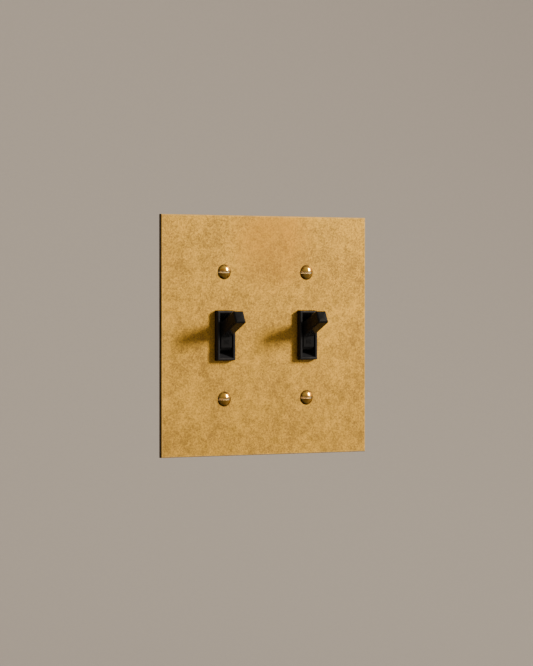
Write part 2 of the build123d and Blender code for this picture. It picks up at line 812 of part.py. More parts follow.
# Rivet through strap, cover and base, headed at both ends
def make_rivet(name, gang_x, z):
    with BuildPart() as rivet:
        with BuildSketch(face_plane(base_back, gang_x, z)):
            Circle(rivet_radius)
        extrude(amount=base_back - strap_setback)
        for depth in (strap_setback, base_back + rivet_head_thick):
            with BuildSketch(face_plane(depth, gang_x, z)):
                Circle(rivet_head_radius)
            extrude(amount=rivet_head_thick)
        fillet(rivet.faces().sort_by(Axis.Y)[0].edges(), rivet_head_round)
        fillet(rivet.faces().sort_by(Axis.Y)[-1].edges(), rivet_head_round)
    save(rivet, name)


os.makedirs("parts", exist_ok=True)
make_wall_plate()
for side, gang_x in (("left", -gang_spacing / 2), ("right", gang_spacing / 2)):
    make_strap(side, gang_x)
    make_cover(side, gang_x)
    make_base(side, gang_x)
    make_lever(side, gang_x)
    make_lever_spring(side, gang_x)
    make_rocker(side, gang_x)
    make_moving_contact(side, gang_x)
    make_fixed_contact(side, gang_x)
    make_common_terminal(side, gang_x)
    make_load_terminal(side, gang_x)
    screw_seat = gang_x + terminal_face + clamp_thick
    for role, z in (("common", terminal_screw_height), ("load", -terminal_screw_height)):
        make_clamp(f"{role}_clamp_{side}", gang_x, z)
        make_side_screw(f"{role}_screw_{side}", screw_seat, terminal_screw_depth, z, 1)
    make_side_screw(
        f"ground_screw_{side}", gang_x - ground_tab_reach, ground_screw_depth, -ground_screw_height, -1
    )
    for end, way in (("top", 1), ("bottom", -1)):
        make_plate_screw(f"plate_screw_{end}_{side}", gang_x, way * plate_screw_spacing / 2)
        make_bumper(f"bumper_{end}_{side}", gang_x, way)
        make_box_screw(f"box_screw_{end}_{side}", gang_x, way * box_screw_spacing / 2)
        make_retainer(f"screw_retainer_{end}_{side}", gang_x, way * box_screw_spacing / 2)
        make_rivet(f"rivet_{end}_{side}", gang_x, way * rivet_height)
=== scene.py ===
import bmesh
import bpy
import numpy as np
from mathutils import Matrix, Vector


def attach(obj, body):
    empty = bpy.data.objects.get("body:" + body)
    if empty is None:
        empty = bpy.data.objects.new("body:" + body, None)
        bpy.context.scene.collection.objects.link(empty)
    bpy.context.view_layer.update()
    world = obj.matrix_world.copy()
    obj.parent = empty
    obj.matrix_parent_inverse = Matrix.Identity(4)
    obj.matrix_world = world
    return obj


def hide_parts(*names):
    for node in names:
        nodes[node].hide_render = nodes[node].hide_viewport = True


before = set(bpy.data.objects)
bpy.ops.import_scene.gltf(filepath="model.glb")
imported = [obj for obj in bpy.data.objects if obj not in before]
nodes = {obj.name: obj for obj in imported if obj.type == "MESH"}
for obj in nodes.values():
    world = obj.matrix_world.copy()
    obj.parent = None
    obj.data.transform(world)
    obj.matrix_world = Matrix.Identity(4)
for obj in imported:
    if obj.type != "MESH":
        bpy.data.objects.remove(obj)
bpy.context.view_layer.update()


# Base mouldings: the deep tray behind each switch that holds its contacts and terminals.
# Compression-moulded phenolic filled with wood flour, so it is dark brown and half glossy,
# with fine lighter flecks of the filler and a skin that waves very slightly.
def linear(colour):
    """Linear red, green, blue and alpha 1 of an sRGB hex colour.

    v / 12.92 where v is dark, and ((v + 0.055) / 1.055) to the power 2.4 elsewhere."""
    v = np.array([int(colour[i:i + 2], 16) for i in (1, 3, 5)]) / 255
    v = np.where(v <= 0.04045, v / 12.92, ((v + 0.055) / 1.055) ** 2.4)
    return (*v.tolist(), 1.0)


def add(finish, kind, sockets={}, **settings):
    """Add one node to a finish: settings are the node's own, and sockets gives each input
    a value or the output that is joined to it."""
    node = finish.node_tree.nodes.new(kind)
    for setting, value in settings.items():
        setattr(node, setting, value)
    for socket, value in sockets.items():
        if isinstance(value, bpy.types.NodeSocket):
            finish.node_tree.links.new(value, node.inputs[socket])
        else:
            node.inputs[socket].default_value = value
    return node


def new_finish(name):
    """An empty material, and the socket that gives a place on the piece in metres."""
    finish = bpy.data.materials.new(name)
    finish.use_nodes = True
    finish.node_tree.nodes.clear()
    return finish, add(finish, "ShaderNodeTexCoord").outputs["Object"]


def give(finish, *names):
    """Put a finish on CAD nodes, in their objects' material slots."""
    for name in names:
        if not nodes[name].material_slots:
            nodes[name].data.materials.append(finish)
        for slot in nodes[name].material_slots:
            slot.material = finish


phenolic, place = new_finish("compression_moulded_brown_phenolic")
flecks = add(
    phenolic, "ShaderNodeTexNoise", {"Vector": place, "Scale": 1 / 0.0005, "Detail": 3}
).outputs[0]
flow = add(
    phenolic, "ShaderNodeTexNoise", {"Vector": place, "Scale": 1 / 0.012, "Detail": 3}
).outputs[0]
fleck_mask = add(
    phenolic, "ShaderNodeMapRange", {"Value": flecks, "From Min": 0.56, "From Max": 0.72}
).outputs[0]
brown = add(
    phenolic, "ShaderNodeMix",
    {0: flow, 6: linear("#2A1D17"), 7: linear("#3C2A20")}, data_type="RGBA",
).outputs[2]
flecked = add(
    phenolic, "ShaderNodeMix",
    {0: fleck_mask, 6: brown, 7: linear("#5C4534")}, data_type="RGBA",
).outputs[2]
gloss = add(
    phenolic, "ShaderNodeMapRange", {"Value": flow, "To Min": 0.34, "To Max": 0.5}
).outputs[0]
skin = add(
    phenolic, "ShaderNodeBump", {"Height": flecks, "Distance": 0.00001, "Strength": 0.6}
).outputs[0]
shader = add(
    phenolic, "ShaderNodeBsdfPrincipled",
    {"Base Color": flecked, "Roughness": gloss, "Normal": skin, "IOR": 1.6},
)
add(phenolic, "ShaderNodeOutputMaterial", {"Surface": shader.outputs[0]})
give(phenolic, "base_left", "base_right")


# Load and common terminals, wire clamps and rockers: parts of the current path.
# Stamped and bent from rolled brass strip, so faint lines run along the strip and
# handling has left a soft brown film in patches.
gang_half = 0.02302
sides = {"left": -gang_half, "right": gang_half}
strip_brass, place = new_finish("rolled_strip_brass")
rolled = add(
    strip_brass, "ShaderNodeMapping",
    {"Vector": place, "Scale": (1 / 0.004, 1 / 0.004, 1 / 0.00025)},
).outputs[0]
lines = add(
    strip_brass, "ShaderNodeTexNoise", {"Vector": rolled, "Scale": 1.0, "Detail": 4}
).outputs[0]
film = add(
    strip_brass, "ShaderNodeTexNoise", {"Vector": place, "Scale": 1 / 0.005, "Detail": 4}
).outputs[0]
film_mask = add(
    strip_brass, "ShaderNodeMapRange", {"Value": film, "From Min": 0.42, "From Max": 0.75}
).outputs[0]
strip_colour = add(
    strip_brass, "ShaderNodeMix",
    {0: film_mask, 6: linear("#D9B567"), 7: linear("#A87F3E")}, data_type="RGBA",
).outputs[2]
strip_gloss = add(
    strip_brass, "ShaderNodeMapRange", {"Value": lines, "To Min": 0.2, "To Max": 0.46}
).outputs[0]
strip_bump = add(
    strip_brass, "ShaderNodeBump", {"Height": lines, "Distance": 0.000006, "Strength": 0.7}
).outputs[0]
shader = add(
    strip_brass, "ShaderNodeBsdfPrincipled",
    {"Base Color": strip_colour, "Metallic": 1.0, "Roughness": strip_gloss, "Normal": strip_bump},
)
add(strip_brass, "ShaderNodeOutputMaterial", {"Surface": shader.outputs[0]})
for side in sides:
    give(strip_brass, f"load_terminal_{side}", f"common_terminal_{side}", f"rocker_{side}")
    give(strip_brass, f"load_clamp_{side}", f"common_clamp_{side}")


# Contacts: the moving rivet on the rocker and the fixed disc on the load terminal.
# Headed from silver alloy wire, bright but browned by sulphide in small patches.
silver, place = new_finish("tarnished_silver_alloy")
sulphide = add(
    silver, "ShaderNodeTexNoise", {"Vector": place, "Scale": 1 / 0.0014, "Detail": 5}
).outputs[0]
sulphide_mask = add(
    silver, "ShaderNodeMapRange", {"Value": sulphide, "From Min": 0.45, "From Max": 0.8}
).outputs[0]
silver_colour = add(
    silver, "ShaderNodeMix",
    {0: sulphide_mask, 6: linear("#D9D7D1"), 7: linear("#8F7F68")}, data_type="RGBA",
).outputs[2]
silver_gloss = add(
    silver, "ShaderNodeMapRange", {"Value": sulphide, "To Min": 0.2, "To Max": 0.45}
).outputs[0]
silver_bump = add(
    silver, "ShaderNodeBump", {"Height": sulphide, "Distance": 0.000008, "Strength": 0.5}
).outputs[0]
shader = add(
    silver, "ShaderNodeBsdfPrincipled",
    {"Base Color": silver_colour, "Metallic": 1.0, "Roughness": silver_gloss, "Normal": silver_bump},
)
add(silver, "ShaderNodeOutputMaterial", {"Surface": shader.outputs[0]})
for side in sides:
    give(silver, f"moving_contact_{side}", f"fixed_contact_{side}")


# Bumpers: small blocks that stop the lever softly at each end of its swing.
# Moulded black rubber, matt, with a bloom of grey dust in its fine grain.
rubber, place = new_finish("moulded_black_rubber")
bloom = add(
    rubber, "ShaderNodeTexNoise", {"Vector": place, "Scale": 1 / 0.0006, "Detail": 4}
).outputs[0]
rubber_colour = add(
    rubber, "ShaderNodeMix",
    {0: bloom, 6: linear("#141415"), 7: linear("#2B2A29")}, data_type="RGBA",
).outputs[2]
rubber_gloss = add(
    rubber, "ShaderNodeMapRange", {"Value": bloom, "To Min": 0.7, "To Max": 0.95}
).outputs[0]
rubber_bump = add(
    rubber, "ShaderNodeBump", {"Height": bloom, "Distance": 0.00002, "Strength": 0.6}
).outputs[0]
shader = add(
    rubber, "ShaderNodeBsdfPrincipled",
    {"Base Color": rubber_colour, "Roughness": rubber_gloss, "Normal": rubber_bump, "IOR": 1.5},
)
add(rubber, "ShaderNodeOutputMaterial", {"Surface": shader.outputs[0]})
for side in sides:
    give(rubber, f"bumper_top_{side}", f"bumper_bottom_{side}")


# Lever springs: the coil inside each lever's stem that snaps the rocker over.
# Hard-drawn steel wire, coiled cold: grey, with uneven fine drawing marks and a dull shine.
spring_steel, place = new_finish("hard_drawn_spring_steel")
drawn = add(
    spring_steel, "ShaderNodeTexNoise", {"Vector": place, "Scale": 1 / 0.0003, "Detail": 3}
).outputs[0]
steel_colour = add(
    spring_steel, "ShaderNodeMix",
    {0: drawn, 6: linear("#6F7073"), 7: linear("#A9AAAD")}, data_type="RGBA",
).outputs[2]
steel_gloss = add(
    spring_steel, "ShaderNodeMapRange", {"Value": drawn, "To Min": 0.22, "To Max": 0.42}
).outputs[0]
steel_bump = add(
    spring_steel, "ShaderNodeBump", {"Height": drawn, "Distance": 0.000005, "Strength": 0.5}
).outputs[0]
shader = add(
    spring_steel, "ShaderNodeBsdfPrincipled",
    {"Base Color": steel_colour, "Metallic": 1.0, "Roughness": steel_gloss, "Normal": steel_bump},
)
add(spring_steel, "ShaderNodeOutputMaterial", {"Surface": shader.outputs[0]})
give(spring_steel, "lever_spring_left", "lever_spring_right")


# Levers: handle, lettered shoulders and hollow stem in one moulding, the piece that is touched.
# Black urea, moulded in a polished tool: grey-black, painted a deeper black towards the tip as
# painted shade on the tip's face and a little duller there, with a few fine rubs along the handle.
lever_black, place = new_finish("moulded_black_urea")
touch = add(
    lever_black, "ShaderNodeTexNoise", {"Vector": place, "Scale": 1 / 0.003, "Detail": 5}
).outputs[0]
rubs = add(
    lever_black, "ShaderNodeTexNoise",
    {
        "Vector": add(
            lever_black, "ShaderNodeMapping",
            {"Vector": place, "Scale": (1 / 0.0004, 1 / 0.004, 1 / 0.004)},
        ).outputs[0],
        "Scale": 1.0, "Detail": 2,
    },
).outputs[0]
depth = add(lever_black, "ShaderNodeSeparateXYZ", {0: place}).outputs[1]
# Painted shade: a ramp towards the tip that darkens the lever's colour there, in patches
toward_tip = add(
    lever_black, "ShaderNodeMapRange", {"Value": depth, "From Min": -0.009, "From Max": -0.0175}
).outputs[0]
tip_shade_and_dulling = add(lever_black, "ShaderNodeMath", {0: toward_tip, 1: touch}, operation="MULTIPLY").outputs[0]
# Painted shade towards the tip, which also adds a little roughness there
lever_colour = add(
    lever_black, "ShaderNodeMix",
    {0: tip_shade_and_dulling, 6: linear("#1F2022"), 7: linear("#0B0C0E")}, data_type="RGBA",
).outputs[2]
lever_dull = add(
    lever_black, "ShaderNodeMapRange",
    {"Value": touch, "From Min": 0.3, "From Max": 0.7, "To Min": 0.13, "To Max": 0.22},
).outputs[0]
lever_gloss = add(
    lever_black, "ShaderNodeMath", {0: tip_shade_and_dulling, 1: 0.04, 2: lever_dull}, operation="MULTIPLY_ADD"
).outputs[0]
lever_bump = add(
    lever_black, "ShaderNodeBump", {"Height": rubs, "Distance": 0.000004, "Strength": 0.6}
).outputs[0]
shader = add(
    lever_black, "ShaderNodeBsdfPrincipled",
    {
        "Base Color": lever_colour, "Roughness": lever_gloss, "Normal": lever_bump,
        "IOR": 1.58, "Specular IOR Level": 0.12,
    },
)
add(lever_black, "ShaderNodeOutputMaterial", {"Surface": shader.outputs[0]})
give(lever_black, "lever_left", "lever_right")


# Covers: flange, bridge and the collar that stands through the wall plate round the lever.
# Black phenolic, compression moulded, half glossy in uneven patches, with faint dust grey
# in its fine grain.
cover_black, place = new_finish("compression_moulded_black_phenolic")
grain = add(
    cover_black, "ShaderNodeTexNoise", {"Vector": place, "Scale": 1 / 0.0006, "Detail": 4}
).outputs[0]
haze = add(
    cover_black, "ShaderNodeTexNoise", {"Vector": place, "Scale": 1 / 0.006, "Detail": 3}
).outputs[0]
cover_colour = add(
    cover_black, "ShaderNodeMix",
    {0: grain, 6: linear("#1A1B1E"), 7: linear("#2B2C30")}, data_type="RGBA",
).outputs[2]
cover_gloss = add(
    cover_black, "ShaderNodeMapRange",
    {"Value": haze, "From Min": 0.3, "From Max": 0.7, "To Min": 0.24, "To Max": 0.4},
).outputs[0]
cover_bump = add(
    cover_black, "ShaderNodeBump", {"Height": grain, "Distance": 0.000008, "Strength": 0.6}
).outputs[0]
shader = add(
    cover_black, "ShaderNodeBsdfPrincipled",
    {
        "Base Color": cover_colour, "Roughness": cover_gloss, "Normal": cover_bump,
        "IOR": 1.6, "Specular IOR Level": 0.2,
    },
)
add(cover_black, "ShaderNodeOutputMaterial", {"Surface": shader.outputs[0]})
give(cover_black, "cover_left", "cover_right")


# Mounting straps: the steel stampings that carry each switch in its switch box.
# Zinc plated and clear passivated, so a cool grey with rolling lines along its length,
# a milky bloom in patches and a trace of straw and blue in the passivation.
zinc, place = new_finish("zinc_plated_steel")
stretched = add(
    zinc, "ShaderNodeMapping", {"Vector": place, "Scale": (1 / 0.0005, 1 / 0.0005, 1 / 0.009)}
).outputs[0]
rolling = add(
    zinc, "ShaderNodeTexNoise", {"Vector": stretched, "Scale": 1.0, "Detail": 4}
).outputs[0]
milk = add(
    zinc, "ShaderNodeTexNoise",
    {"Vector": place, "Scale": 1 / 0.009, "Detail": 6, "Roughness": 0.65},
).outputs[0]
tint = add(zinc, "ShaderNodeTexNoise", {"Vector": place, "Scale": 1 / 0.02, "Detail": 2}).outputs[0]
passivated = add(
    zinc, "ShaderNodeMix",
    {0: tint, 6: linear("#B4BAC6"), 7: linear("#C7C3B4")}, data_type="RGBA",
).outputs[2]
milk_mask = add(
    zinc, "ShaderNodeMapRange", {"Value": milk, "From Min": 0.5, "From Max": 0.8}
).outputs[0]
zinc_colour = add(
    zinc, "ShaderNodeMix",
    {0: milk_mask, 6: passivated, 7: linear("#8C8E92")}, data_type="RGBA",
).outputs[2]
zinc_rough = add(
    zinc, "ShaderNodeMapRange", {"Value": rolling, "To Min": 0.26, "To Max": 0.48}
).outputs[0]
zinc_gloss = add(
    zinc, "ShaderNodeMath", {0: milk_mask, 1: 0.18, 2: zinc_rough}, operation="MULTIPLY_ADD"
).outputs[0]
zinc_bump = add(
    zinc, "ShaderNodeBump", {"Height": rolling, "Distance": 0.000008, "Strength": 0.7}
).outputs[0]
shader = add(
    zinc, "ShaderNodeBsdfPrincipled",
    {"Base Color": zinc_colour, "Metallic": 1.0, "Roughness": zinc_gloss, "Normal": zinc_bump},
)
add(zinc, "ShaderNodeOutputMaterial", {"Surface": shader.outputs[0]})
give(zinc, "strap_left", "strap_right")


# Rivets: one at each end of a body, headed over to hold strap, cover and base together.
# Nickel-plated steel, brighter and warmer than the strap, with small dull marks from the
# setting tool.
nickel, place = new_finish("nickel_plated_steel")
tool = add(
    nickel, "ShaderNodeTexNoise", {"Vector": place, "Scale": 1 / 0.0008, "Detail": 4}
).outputs[0]
nickel_colour = add(
    nickel, "ShaderNodeMix",
    {0: tool, 6: linear("#B9B4A8"), 7: linear("#DAD6CC")}, data_type="RGBA",
).outputs[2]
nickel_gloss = add(
    nickel, "ShaderNodeMapRange",
    {"Value": tool, "From Min": 0.3, "From Max": 0.7, "To Min": 0.2, "To Max": 0.4},
).outputs[0]
nickel_bump = add(
    nickel, "ShaderNodeBump", {"Height": tool, "Distance": 0.00001, "Strength": 0.5}
).outputs[0]
shader = add(
    nickel, "ShaderNodeBsdfPrincipled",
    {"Base Color": nickel_colour, "Metallic": 1.0, "Roughness": nickel_gloss, "Normal": nickel_bump},
)
add(nickel, "ShaderNodeOutputMaterial", {"Surface": shader.outputs[0]})
for side in sides:
    give(nickel, f"rivet_top_{side}", f"rivet_bottom_{side}")


# Terminal screws: two slotted binding-head screws at each body's side, over the wire clamps.
# Cold headed and thread rolled in brass, so smooth and bright with an uneven sheen.
def ring_mesh(name, rings):
    """A closed surface from rings of points, in an array of rings by points by three.

    Point j of ring i is joined to point j + 1 and to the same points of ring i + 1, round
    and round. Points that lie together are merged, so a ring of one place is a pole."""
    count, around = rings.shape[:2]
    i, j = np.meshgrid(np.arange(count - 1), np.arange(around), indexing="ij")
    k = (j + 1) % around
    this, following = i * around, (i + 1) * around
    faces = np.stack([this + j, this + k, following + k, following + j], -1)
    mesh = bpy.data.meshes.new(name)
    mesh.from_pydata(rings.reshape(-1, 3).tolist(), [], faces.reshape(-1, 4).tolist())
    shell = bmesh.new()
    shell.from_mesh(mesh)
    bmesh.ops.remove_doubles(shell, verts=shell.verts, dist=1e-7)
    bmesh.ops.recalc_face_normals(shell, faces=shell.faces)
    shell.to_mesh(mesh)
    shell.free()
    mesh.shade_smooth()
    mesh.set_sharp_from_angle(angle=np.radians(35))
    piece = bpy.data.objects.new(name, mesh)
    bpy.context.scene.collection.objects.link(piece)
    return piece


def slotted_screw(name, seat, outward, along, radius, top, slot, steps, thread):
    """A screw with a slotted head, all lengths in metres, heights measured outward from its seat.

    slot holds half the slot's width, its floor's height and half its length, steps the radius
    and height of each edge between head and thread, and thread the crest's radius, the depth,
    the pitch, and the heights where it starts and ends.
    The head's top is cut into chords x = radius cos(a) that run along the slot. On a chord the
    height is top(r), r being the distance from the axis, and inside the slot it is the lower
    of top(r) and the slot's floor, as far as the slot reaches. The chords' ends make the rim,
    and the rim's angles carry on down the side. A thread's radius is its crest less its depth
    times the distance from the crest, a triangle wave of height / pitch + angle / turn."""
    half, floor, reach = slot
    crest, depth, pitch, start, end = thread
    chords, slot_chords, last, rows_per_turn = 29, 5, 32, 9
    spread = radius * np.cos(np.linspace(0, np.pi, chords))
    middle = np.linspace(half, -half, slot_chords)
    x = np.concatenate([spread[spread > half], [half], middle, [-half], spread[spread < -half]])
    first = np.sum(spread > half) + 1
    in_slot = np.zeros(len(x), bool)
    in_slot[first:first + slot_chords] = True
    v = np.sin(np.linspace(-np.pi / 2, np.pi / 2, last + 1))
    chord = np.sqrt(np.maximum(radius**2 - x**2, 0))[:, None] * v[None, :]
    q = chord * np.where(in_slot, reach / radius, 1.0)[:, None]
    height = top(np.minimum(np.hypot(x[:, None], q), radius))
    height = np.where(in_slot[:, None], np.minimum(height, floor), height)
    # The top as rings: the chords' ends are the rim, and shorter chords follow to the middle line
    upper = np.stack([np.broadcast_to(x[:, None], q.shape), q, height], -1)
    inward = [np.concatenate([upper[:, last - k], upper[::-1, k]]) for k in range(last // 2 + 1)]
    ends = np.concatenate([chord[:, last], chord[::-1, 0]])
    angle = np.arctan2(ends, np.concatenate([x, x[::-1]]))

    def ring(r, h):
        """The points (r cos(angle), r sin(angle), h) at the rim's angles."""
        return np.stack(np.broadcast_arrays(r * np.cos(angle), r * np.sin(angle), h), -1)

    h = np.linspace(start, end, int(abs(end - start) / pitch * rows_per_turn) + 1)[:, None]
    wave = np.abs(2 * ((h / pitch + angle[None, :] / (2 * np.pi)) % 1.0) - 1)
    fade = np.clip(np.minimum(abs(h - start), abs(end - h)) / pitch, 0, 1)
    tip = end - depth
    rings = np.concatenate([
        inward[::-1], [ring(r, step) for r, step in steps],
        ring(crest - depth * fade * wave, h), [ring(crest - depth, tip), ring(0.0, tip)],
    ])
    axes = np.stack([np.cross(along, outward), along, outward])
    return ring_mesh(name, np.array(seat) + rings @ axes)


def flat_head(radius, thick, edge):
    """The height of a flat head's top at a distance r from its axis: thick, less the rounded
    edge's edge - sqrt(edge^2 - over^2), over being how far r goes past the flat."""
    def top(r):
        over = np.maximum(r - (radius - edge), 0)
        return thick - edge + np.sqrt(np.maximum(edge**2 - over**2, 0))
    return top


binding_radius = 0.0038
binding_head = flat_head(binding_radius, 0.0024, 0.0006)
binding_slot = (0.00055, 0.0012, binding_radius)
binding_shank = 0.002
binding_steps = [(binding_radius, 0.0), (binding_shank, 0.0)]
fine_pitch = 0.000794
binding_thread = (binding_shank, 0.00042, fine_pitch, -0.0001, -0.005)
clamp_face = 0.0128
terminal_depth = 0.0115
terminal_height = 0.009
screw_brass, place = new_finish("cold_headed_brass")
turned = add(
    screw_brass, "ShaderNodeTexNoise", {"Vector": place, "Scale": 1 / 0.0007, "Detail": 4}
).outputs[0]
screw_colour = add(
    screw_brass, "ShaderNodeMix",
    {0: turned, 6: linear("#B98F45"), 7: linear("#E2C073")}, data_type="RGBA",
).outputs[2]
screw_gloss = add(
    screw_brass, "ShaderNodeMapRange",
    {"Value": turned, "From Min": 0.3, "From Max": 0.7, "To Min": 0.18, "To Max": 0.36},
).outputs[0]
screw_bump = add(
    screw_brass, "ShaderNodeBump", {"Height": turned, "Distance": 0.000008, "Strength": 0.5}
).outputs[0]
shader = add(
    screw_brass, "ShaderNodeBsdfPrincipled",
    {"Base Color": screw_colour, "Metallic": 1.0, "Roughness": screw_gloss, "Normal": screw_bump},
)
add(screw_brass, "ShaderNodeOutputMaterial", {"Surface": shader.outputs[0]})
for side, gang_x in sides.items():
    for role, z in (("common", terminal_height), ("load", -terminal_height)):
        screw = slotted_screw(
            f"brass_{role}_screw_{side}",
            (gang_x + clamp_face, terminal_depth, z), (1, 0, 0), (0, 0, 1),
            binding_radius, binding_head, binding_slot, binding_steps, binding_thread,
        )
        screw.data.materials.append(screw_brass)
        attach(screw, "fixed")
        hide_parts(f"{role}_screw_{side}")


# Ground screws: one on each strap's bent tab, for the bare earthing wire.
# The same binding-head screw in zinc-plated steel, dyed green so that nobody takes it for
# a live one.
tab_face = 0.0123
tab_depth = 0.0075
tab_height = -0.026
ground_green, place = new_finish("green_dyed_zinc_plating")
dye = add(
    ground_green, "ShaderNodeTexNoise", {"Vector": place, "Scale": 1 / 0.0012, "Detail": 4}
).outputs[0]
green_colour = add(
    ground_green, "ShaderNodeMix",
    {0: dye, 6: linear("#1D5A3A"), 7: linear("#3D9263")}, data_type="RGBA",
).outputs[2]
green_gloss = add(
    ground_green, "ShaderNodeMapRange", {"Value": dye, "To Min": 0.25, "To Max": 0.5}
).outputs[0]
green_bump = add(
    ground_green, "ShaderNodeBump", {"Height": dye, "Distance": 0.000008, "Strength": 0.5}
).outputs[0]
shader = add(
    ground_green, "ShaderNodeBsdfPrincipled",
    {"Base Color": green_colour, "Metallic": 0.85, "Roughness": green_gloss, "Normal": green_bump},
)
add(ground_green, "ShaderNodeOutputMaterial", {"Surface": shader.outputs[0]})
for side, gang_x in sides.items():
    screw = slotted_screw(
        f"green_ground_screw_{side}",
        (gang_x - tab_face, tab_depth, tab_height), (-1, 0, 0), (0, 0, 1),
        binding_radius, binding_head, binding_slot, binding_steps, binding_thread,
    )
    screw.data.materials.append(ground_green)
    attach(screw, "fixed")
    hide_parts(f"ground_screw_{side}")


# Box screws: two through each strap's slots, which fix the switch to its box.
# Zinc-plated steel, with a thin truss head, a plain neck in the retainer and a rolled thread.
box_half = 0.04167
strap_front = 0.0018
box_radius = 0.0037
box_neck = 0.0014
box_head = flat_head(box_radius, 0.0015, 0.00075)
box_slot = (0.00055, 0.0007, box_radius)
box_steps = [(box_radius, 0.0), (box_neck, 0.0), (box_neck, -0.0021)]
box_thread = (0.00175, 0.0004, fine_pitch, -0.0022, -0.0196)
for side, gang_x in sides.items():
    for end, z in (("top", box_half), ("bottom", -box_half)):
        screw = slotted_screw(
            f"steel_box_screw_{end}_{side}", (gang_x, strap_front, z), (0, -1, 0), (1, 0, 0),
            box_radius, box_head, box_slot, box_steps, box_thread,
        )
        screw.data.materials.append(zinc)
        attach(screw, "fixed")
        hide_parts(f"box_screw_{end}_{side}")


# Screw retainers: square washers behind the strap that keep the box screws from falling out.
# Punched from vulcanised fibre, matt and grey-brown, with short paper fibres showing.
fibre, place = new_finish("vulcanised_fibre")
pressed = add(
    fibre, "ShaderNodeMapping", {"Vector": place, "Scale": (1 / 0.0018, 1 / 0.0018, 1 / 0.00025)}
).outputs[0]
fibres = add(fibre, "ShaderNodeTexNoise", {"Vector": pressed, "Scale": 1.0, "Detail": 4}).outputs[0]
fibre_colour = add(
    fibre, "ShaderNodeMix",
    {0: fibres, 6: linear("#5B4C3D"), 7: linear("#A38F74")}, data_type="RGBA",
).outputs[2]
fibre_gloss = add(
    fibre, "ShaderNodeMapRange", {"Value": fibres, "To Min": 0.7, "To Max": 0.95}
).outputs[0]
fibre_bump = add(
    fibre, "ShaderNodeBump", {"Height": fibres, "Distance": 0.00003, "Strength": 0.6}
).outputs[0]
shader = add(
    fibre, "ShaderNodeBsdfPrincipled",
    {"Base Color": fibre_colour, "Roughness": fibre_gloss, "Normal": fibre_bump, "IOR": 1.45},
)
add(fibre, "ShaderNodeOutputMaterial", {"Surface": shader.outputs[0]})
for side in sides:
    give(fibre, f"screw_retainer_top_{side}", f"screw_retainer_bottom_{side}")


# Wall plate: one flat sheet over both switches, with square corners and four countersunk holes.
# Rolled brass, satin finished and aged without lacquer: brown mottles a few millimetres wide
# and a fine speckle, with a painted highlight along the edges and painted shade round the screws and
# on the sides.
plate_half = 0.05715
plate_front = -0.002
screw_half = 0.030165
plate_brass, place = new_finish("aged_satin_brass_sheet")
cloud = add(
    plate_brass, "ShaderNodeTexNoise",
    {"Vector": place, "Scale": 1 / 0.022, "Detail": 3, "Roughness": 0.55},
).outputs[0]
mottle = add(
    plate_brass, "ShaderNodeTexNoise",
    {"Vector": place, "Scale": 1 / 0.0036, "Detail": 3, "Roughness": 0.6},
).outputs[0]
# The speckle of a real patina is finer than this, and is drawn coarser so that it shows
pepper = add(
    plate_brass, "ShaderNodeTexNoise",
    {"Vector": place, "Scale": 1 / 0.0008, "Detail": 3, "Roughness": 0.85},
).outputs[0]
speck = add(
    plate_brass, "ShaderNodeTexVoronoi", {"Vector": place, "Scale": 1 / 0.00055}
).outputs["Color"]
tone = 0.0
for layer, weight in ((cloud, 0.8), (mottle, 0.62), (pepper, 2.1), (speck, 0.7)):
    tone = add(
        plate_brass, "ShaderNodeMath", {0: layer, 1: weight, 2: tone}, operation="MULTIPLY_ADD"
    ).outputs[0]
patina = add(
    plate_brass, "ShaderNodeMapRange", {"Value": tone, "From Min": 1.72, "From Max": 2.46}
).outputs[0]
# The back was never finished or touched, so the patina is fainter and more even there
depth = add(plate_brass, "ShaderNodeSeparateXYZ", {0: place}).outputs[1]
at_back = add(
    plate_brass, "ShaderNodeMapRange",
    {"Value": depth, "From Min": -0.0012, "From Max": -0.0002, "To Max": 0.7},
).outputs[0]
patina = add(plate_brass, "ShaderNodeMix", {0: at_back, 2: patina, 3: 0.55}).outputs[0]
mottled = add(
    plate_brass, "ShaderNodeMix",
    {0: patina, 6: linear("#A27B2E"), 7: linear("#E3B548")}, data_type="RGBA",
).outputs[2]
# One broad honey-coloured cloud near the top, where the sheet was handled
to_cloud = add(
    plate_brass, "ShaderNodeVectorMath", {0: place, 1: (0.004, -0.002, 0.045)}, operation="DISTANCE"
).outputs["Value"]
near_cloud = add(
    plate_brass, "ShaderNodeMapRange",
    {"Value": to_cloud, "From Min": 0.008, "From Max": 0.03, "To Min": 0.75, "To Max": 0.0},
    interpolation_type="SMOOTHSTEP",
).outputs[0]
cloud_mask = add(
    plate_brass, "ShaderNodeMath", {0: near_cloud, 1: cloud}, operation="MULTIPLY"
).outputs[0]
peppered = add(
    plate_brass, "ShaderNodeMix",
    {0: cloud_mask, 6: mottled, 7: linear("#C08420")}, data_type="RGBA",
).outputs[2]
# Distances from the nearest screw and from the plate's middle lines, folded into one quarter
folded = add(plate_brass, "ShaderNodeVectorMath", {0: place}, operation="ABSOLUTE").outputs[0]
flat = add(
    plate_brass, "ShaderNodeVectorMath", {0: folded, 1: (1, 0, 1)}, operation="MULTIPLY"
).outputs[0]
to_screw = add(
    plate_brass, "ShaderNodeVectorMath",
    {0: flat, 1: (gang_half, 0, screw_half)}, operation="DISTANCE",
).outputs["Value"]
# Painted shade: a dark ring on the plate just outside each screw head, in the seam
screw_seam_shade = add(
    plate_brass, "ShaderNodeMapRange",
    {"Value": to_screw, "From Min": 0.00345, "From Max": 0.0038, "To Min": 0.7, "To Max": 0.0},
).outputs[0]
with_seam_shade = add(
    plate_brass, "ShaderNodeMix",
    {0: screw_seam_shade, 6: peppered, 7: linear("#5E4322")}, data_type="RGBA",
).outputs[2]
part = add(plate_brass, "ShaderNodeSeparateXYZ", {0: flat})
outermost = add(
    plate_brass, "ShaderNodeMath", {0: part.outputs[0], 1: part.outputs[2]}, operation="MAXIMUM"
).outputs[0]
